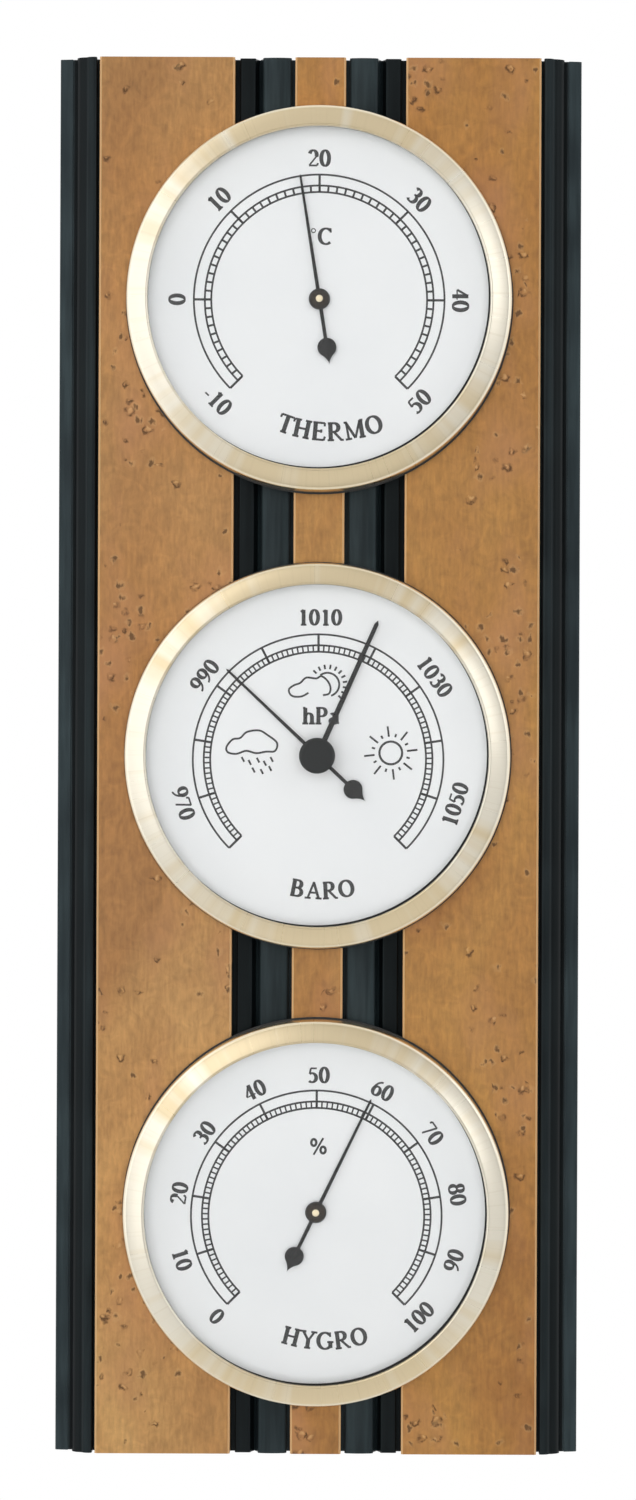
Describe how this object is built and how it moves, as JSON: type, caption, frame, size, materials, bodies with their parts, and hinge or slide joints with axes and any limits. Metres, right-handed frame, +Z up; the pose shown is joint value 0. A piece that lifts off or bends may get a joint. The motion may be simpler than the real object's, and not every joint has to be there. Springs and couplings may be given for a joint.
{
  "type": "analogue weather station",
  "caption": "Wall-hung board of burl veneer and black mouldings with a thermometer, an aneroid barometer and a hygrometer in brass bezels, one above another.",
  "frame": {"origin": "centre of the hanger's entry hole, on the plane of the wall", "axes": "+Z up along the board's height, +X to the right seen from the front, +Y into the wall; the dials face -Y"},
  "size_m": [0.1388, 0.031, 0.37],
  "materials": {
    "core_mdf": "raw fibreboard",
    "burl_veneer": "clear satin lacquer over burl veneer",
    "black_lacquer": "satin black lacquer on moulded wood",
    "bezel_brass": "pale brass, polished and lacquered",
    "lens_glass": "clear flat glass",
    "dial_silver": "silver-white printed sheet",
    "spacer_white": "moulded, matt",
    "case_black": "moulded, fine texture",
    "grip_rubber": "matt",
    "movement_brass": "machined",
    "movement_steel": "turned",
    "pointer_black": "black enamel",
    "bimetal_strip": "rolled strip",
    "humidity_strip": "treated paper on metal strip",
    "knob_black": "moulded, satin",
    "hanger_steel": "zinc plated"
  },
  "bodies": {
    "case": {"core_board": "core_mdf", "left_burl_panel": "burl_veneer", "centre_burl_strip": "burl_veneer", "right_burl_panel": "burl_veneer", "left_edge_moulding": "black_lacquer", "right_edge_moulding": "black_lacquer", "left_inner_moulding": "black_lacquer", "right_inner_moulding": "black_lacquer", "hanger_plate": "hanger_steel", "hanger_screws": "hanger_steel", "thermometer_housing": "case_black", "thermometer_grip_band": "grip_rubber", "thermometer_dial": "dial_silver", "thermometer_spacer": "spacer_white", "thermometer_lens": "lens_glass", "thermometer_bezel": "bezel_brass", "barometer_housing": "case_black", "barometer_grip_band": "grip_rubber", "barometer_dial": "dial_silver", "barometer_spacer": "spacer_white", "barometer_lens": "lens_glass", "barometer_bezel": "bezel_brass", "hygrometer_housing": "case_black", "hygrometer_grip_band": "grip_rubber", "hygrometer_dial": "dial_silver", "hygrometer_spacer": "spacer_white", "hygrometer_lens": "lens_glass", "hygrometer_bezel": "bezel_brass", "thermometer_bracket": "movement_brass", "thermometer_bracket_screws": "movement_steel", "hygrometer_bracket": "movement_brass", "hygrometer_bracket_screws": "movement_steel", "barometer_base_plate": "movement_brass", "barometer_capsule_lower": "movement_steel", "barometer_capsule_upper": "movement_steel", "barometer_pillars": "movement_brass", "barometer_lower_plate": "movement_brass", "barometer_top_plate": "movement_brass", "barometer_hairspring": "movement_steel", "barometer_set_bush": "movement_brass", "barometer_movement_screws": "movement_steel"},
    "thermometer_hand": {"thermometer_arbor": "movement_steel", "thermometer_pointer": "pointer_black", "thermometer_hub_cap": "movement_brass"},
    "thermometer_adjuster": {"thermometer_adjuster": "movement_brass", "thermometer_coil": "bimetal_strip"},
    "hygrometer_hand": {"hygrometer_arbor": "movement_steel", "hygrometer_pointer": "pointer_black", "hygrometer_hub_cap": "movement_brass"},
    "hygrometer_adjuster": {"hygrometer_adjuster": "movement_brass", "hygrometer_coil": "humidity_strip"},
    "barometer_sector": {"barometer_sector": "movement_brass"},
    "barometer_hand": {"barometer_arbor": "movement_steel", "barometer_pointer": "pointer_black"},
    "rocking_shaft": {"barometer_rocking_shaft": "movement_steel"},
    "link": {"barometer_link": "movement_steel"},
    "capsule_post": {"barometer_capsule_post": "movement_brass"},
    "adjusting_screw": {"barometer_adjusting_screw": "movement_steel"},
    "marker_hand": {"barometer_set_hand": "pointer_black", "barometer_set_knob": "knob_black"}
  },
  "joints": [
    {"name": "thermometer_hand_hinge", "type": "hinge", "parent": "case", "child": "thermometer_hand", "pos_m": [0, -0.018, -0.0555], "axis": [0, 1, 0], "range_deg": [-126, 144], "stiffness_Nm_per_rad": 0.001, "deforming": ["thermometer_coil"]},
    {"name": "thermometer_adjuster_hinge", "type": "hinge", "parent": "case", "child": "thermometer_adjuster", "pos_m": [0, -0.001, -0.0555], "axis": [0, 1, 0], "range_deg": [-25, 25], "deforming": ["thermometer_coil"]},
    {"name": "hygrometer_hand_hinge", "type": "hinge", "parent": "case", "child": "hygrometer_hand", "pos_m": [0, -0.018, -0.2965], "axis": [0, 1, 0], "range_deg": [-160.92, 109.08], "stiffness_Nm_per_rad": 0.001, "deforming": ["hygrometer_coil"]},
    {"name": "hygrometer_adjuster_hinge", "type": "hinge", "parent": "case", "child": "hygrometer_adjuster", "pos_m": [0, -0.001, -0.2965], "axis": [0, 1, 0], "range_deg": [-25, 25], "deforming": ["hygrometer_coil"]},
    {"name": "sector_hinge", "type": "hinge", "parent": "case", "child": "barometer_sector", "pos_m": [0, -0.014, -0.202], "axis": [0, 1, 0], "range_deg": [-15.14, 7.37], "stiffness_Nm_per_rad": 0.02},
    {"name": "barometer_hand_hinge", "type": "hinge", "parent": "case", "child": "barometer_hand", "pos_m": [0, -0.018, -0.176], "axis": [0, 1, 0], "range_deg": [-88.6, 181.8], "deforming": ["barometer_hairspring"]},
    {"name": "rocking_shaft_hinge", "type": "hinge", "parent": "case", "child": "rocking_shaft", "pos_m": [0, -0.0103, -0.1795], "axis": [1, 0, 0], "range_deg": [-9, 4.5]},
    {"name": "link_slide", "type": "slide", "parent": "case", "child": "link", "axis": [0, 0, 1], "range_m": [-0.0004, 0.0008]},
    {"name": "capsule_post_slide", "type": "slide", "parent": "case", "child": "capsule_post", "axis": [0, 1, 0], "range_m": [-0.00028, 0.00056], "deforming": ["barometer_capsule_upper"]},
    {"name": "adjusting_screw_hinge", "type": "hinge", "parent": "case", "child": "adjusting_screw", "pos_m": [0, -0.002, -0.151], "axis": [0, 1, 0], "range_deg": [-360, 360]},
    {"name": "marker_hand_hinge", "type": "hinge", "parent": "case", "child": "marker_hand", "pos_m": [0, -0.023, -0.176], "axis": [0, 1, 0], "continuous": true}
  ],
  "couplings": [
    {"joint": "barometer_hand_hinge", "follows": "sector_hinge", "ratio": -12},
    {"joint": "rocking_shaft_hinge", "follows": "sector_hinge", "ratio": 0.58824},
    {"joint": "link_slide", "follows": "sector_hinge", "m_per_rad": -0.003},
    {"joint": "capsule_post_slide", "follows": "sector_hinge", "m_per_rad": -0.0020588}
  ]
}
